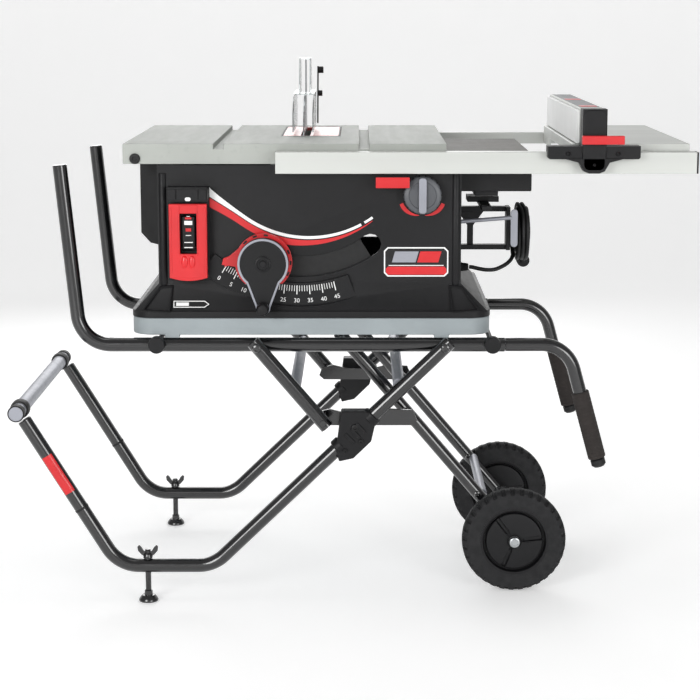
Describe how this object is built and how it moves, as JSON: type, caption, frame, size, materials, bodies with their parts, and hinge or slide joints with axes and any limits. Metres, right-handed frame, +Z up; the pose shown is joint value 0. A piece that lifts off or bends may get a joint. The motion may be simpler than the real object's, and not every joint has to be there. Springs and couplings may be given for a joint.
{
  "type": "portable table saw",
  "caption": "Portable table saw on a folding wheeled stand, with sliding table extension, rip fence, clear blade guard, bevel crank and coiled mains cord.",
  "frame": {"origin": "on the floor under the middle of the whole saw's bounding box, cord left out", "axes": "+X to the operator's right along the stand's side rails, +Y away from the operator along the blade, +Z up"},
  "size_m": [1.293, 0.683, 1.0245],
  "materials": {
    "cast_table": "machined, light",
    "extrusion": "satin",
    "black_plastic": "fine grain",
    "grey_plastic": "fine grain",
    "dark_grey": "satin",
    "red": "satin",
    "clear_red": "translucent",
    "clear": "clear polycarbonate",
    "white": "smooth",
    "black_tube": "gloss powder coat",
    "foam": "foam grip",
    "tyre": "moulded",
    "steel": "ground",
    "silver_paint": "satin",
    "rubber": "soft"
  },
  "bodies": {
    "base": {"table_top": "cast_table", "throat_insert": "clear_red", "slide_bed": "silver_paint", "housing": "black_plastic", "base_tray": "grey_plastic", "switch_box": "black_plastic", "power_module": "black_plastic", "storage_rack": "black_plastic", "mitre_gauge": "black_plastic", "cord_gland": "rubber", "cord_lead": "rubber", "cord_coil": "rubber", "cord_plug": "rubber", "side_rail_front": "black_tube", "side_rail_rear": "black_tube", "handle_tube_front": "black_tube", "handle_tube_rear": "black_tube", "handle_grip_front": "foam", "handle_grip_rear": "foam", "mount_rod_left": "black_plastic", "mount_rod_right": "black_plastic"},
    "extension": {"front_rail": "extrusion", "front_rail_cap": "black_plastic", "rear_rail": "extrusion", "extension_wing": "cast_table"},
    "fence": {"fence_beam": "extrusion", "fence_face": "white", "fence_head": "black_plastic"},
    "fence_lever": {"fence_lever": "red"},
    "stop_paddle": {"stop_paddle": "red"},
    "start_toggle": {"start_toggle": "black_plastic"},
    "fine_tilt_knob": {"fine_tilt_knob": "dark_grey"},
    "extension_lock": {"extension_lock_lever": "red"},
    "trunnion": {"trunnion": "cast_table"},
    "carriage": {"arbor_carriage": "cast_table", "motor": "dark_grey", "riving_knife": "steel"},
    "spindle": {"arbor": "steel", "blade": "steel"},
    "crank": {"elevation_crank": "dark_grey"},
    "crank_grip": {"crank_grip": "black_plastic"},
    "tilt_ring": {"tilt_lock_ring": "red"},
    "pawls": {"kickback_pawls": "rubber"},
    "guard": {"blade_guard": "clear"},
    "foot_legs": {"foot_leg_front": "black_tube", "foot_leg_rear": "black_tube", "carry_bar": "silver_paint", "foot_leg_brace": "silver_paint"},
    "leveller_front": {"leveller_front": "black_tube"},
    "leveller_rear": {"leveller_rear": "black_tube"},
    "struts": {"strut_front": "black_tube", "strut_rear": "black_tube", "strut_brace": "silver_paint"},
    "links": {"link_plate_front": "black_tube", "link_plate_rear": "black_tube"},
    "wheel_legs": {"wheel_leg_front": "black_tube", "wheel_leg_rear": "black_tube", "axle": "steel"},
    "wheel_front": {"wheel_front": "tyre"},
    "wheel_rear": {"wheel_rear": "tyre"}
  },
  "joints": [
    {"name": "extension_slide", "type": "slide", "parent": "base", "child": "extension", "axis": [-1, 0, 0], "range_m": [0, 0.235]},
    {"name": "fence_slide", "type": "slide", "parent": "extension", "child": "fence", "axis": [-1, 0, 0], "range_m": [-0.1, 0.235]},
    {"name": "fence_lever_lift", "type": "hinge", "parent": "fence", "child": "fence_lever", "pos_m": [0.4635, -0.3253, 0.896], "axis": [-1, 0, 0], "range_deg": [0, 60]},
    {"name": "stop_paddle_swing", "type": "hinge", "parent": "base", "child": "stop_paddle", "pos_m": [-0.3045, -0.2835, 0.766], "axis": [-1, 0, 0], "range_deg": [0, 20]},
    {"name": "start_toggle_tip", "type": "hinge", "parent": "base", "child": "start_toggle", "pos_m": [-0.3045, -0.2745, 0.711], "axis": [1, 0, 0], "range_deg": [-8, 8]},
    {"name": "fine_tilt_turn", "type": "hinge", "parent": "base", "child": "fine_tilt_knob", "pos_m": [0.1345, -0.2715, 0.781], "axis": [0, 1, 0], "continuous": true},
    {"name": "extension_lock_turn", "type": "hinge", "parent": "base", "child": "extension_lock", "pos_m": [0.0535, -0.3015, 0.807], "axis": [0, 1, 0], "range_deg": [0, 60]},
    {"name": "bevel_tilt", "type": "hinge", "parent": "base", "child": "trunnion", "pos_m": [-0.0955, -0.0215, 0.876], "axis": [0, -1, 0], "range_deg": [0, 45]},
    {"name": "blade_elevation", "type": "slide", "parent": "trunnion", "child": "carriage", "axis": [0, 0, -1], "range_m": [0, 0.075]},
    {"name": "blade_spin", "type": "hinge", "parent": "carriage", "child": "spindle", "pos_m": [-0.0955, 0.0965, 0.824], "axis": [1, 0, 0], "continuous": true},
    {"name": "crank_turn", "type": "hinge", "parent": "trunnion", "child": "crank", "pos_m": [-0.1645, -0.2965, 0.655], "axis": [0, 1, 0], "range_deg": [0, 360]},
    {"name": "crank_grip_spin", "type": "hinge", "parent": "crank", "child": "crank_grip", "pos_m": [-0.1645, -0.3215, 0.573], "axis": [0, 1, 0], "continuous": true},
    {"name": "tilt_ring_turn", "type": "hinge", "parent": "trunnion", "child": "tilt_ring", "pos_m": [-0.1645, -0.2715, 0.655], "axis": [0, 1, 0], "range_deg": [0, 30]},
    {"name": "guard_float", "type": "slide", "parent": "trunnion", "child": "pawls", "axis": [0, 0, 1], "range_m": [0, 0.02]},
    {"name": "guard_lift", "type": "hinge", "parent": "pawls", "child": "guard", "pos_m": [-0.0955, 0.2065, 1], "axis": [-1, 0, 0], "range_deg": [0, 30]},
    {"name": "foot_leg_fold", "type": "hinge", "parent": "base", "child": "foot_legs", "pos_m": [0.1775, -0.0215, 0.497], "axis": [0, 1, 0], "range_deg": [0, 24]},
    {"name": "wheel_leg_fold", "type": "hinge", "parent": "base", "child": "wheel_legs", "pos_m": [-0.0175, -0.0215, 0.497], "axis": [0, 1, 0], "range_deg": [0, 115]},
    {"name": "strut_fold", "type": "hinge", "parent": "base", "child": "struts", "pos_m": [-0.1765, -0.0215, 0.497], "axis": [0, 1, 0], "range_deg": [0, 115.5]},
    {"name": "link_fold", "type": "hinge", "parent": "struts", "child": "links", "pos_m": [-0.0531, -0.0215, 0.35174], "axis": [0, 1, 0], "range_deg": [-115.5, 0]},
    {"name": "wheel_front_spin", "type": "hinge", "parent": "wheel_legs", "child": "wheel_front", "pos_m": [0.3185, -0.2235, 0.1015], "axis": [0, 1, 0], "continuous": true},
    {"name": "wheel_rear_spin", "type": "hinge", "parent": "wheel_legs", "child": "wheel_rear", "pos_m": [0.3185, 0.1805, 0.1015], "axis": [0, 1, 0], "continuous": true},
    {"name": "leveller_front_turn", "type": "hinge", "parent": "foot_legs", "child": "leveller_front", "pos_m": [-0.3905, -0.3015, 0.04], "axis": [0, 0, 1], "continuous": true},
    {"name": "leveller_rear_turn", "type": "hinge", "parent": "foot_legs", "child": "leveller_rear", "pos_m": [-0.3905, 0.2585, 0.04], "axis": [0, 0, 1], "continuous": true}
  ],
  "couplings": [
    {"joint": "crank_turn", "follows": "blade_elevation", "rad_per_m": 80},
    {"joint": "guard_float", "follows": "bevel_tilt", "m_per_rad": 0.0215},
    {"joint": "foot_leg_fold", "follows": "wheel_leg_fold", "ratio": 0.2},
    {"joint": "strut_fold", "follows": "wheel_leg_fold", "ratio": 1},
    {"joint": "link_fold", "follows": "wheel_leg_fold", "ratio": -1}
  ]
}
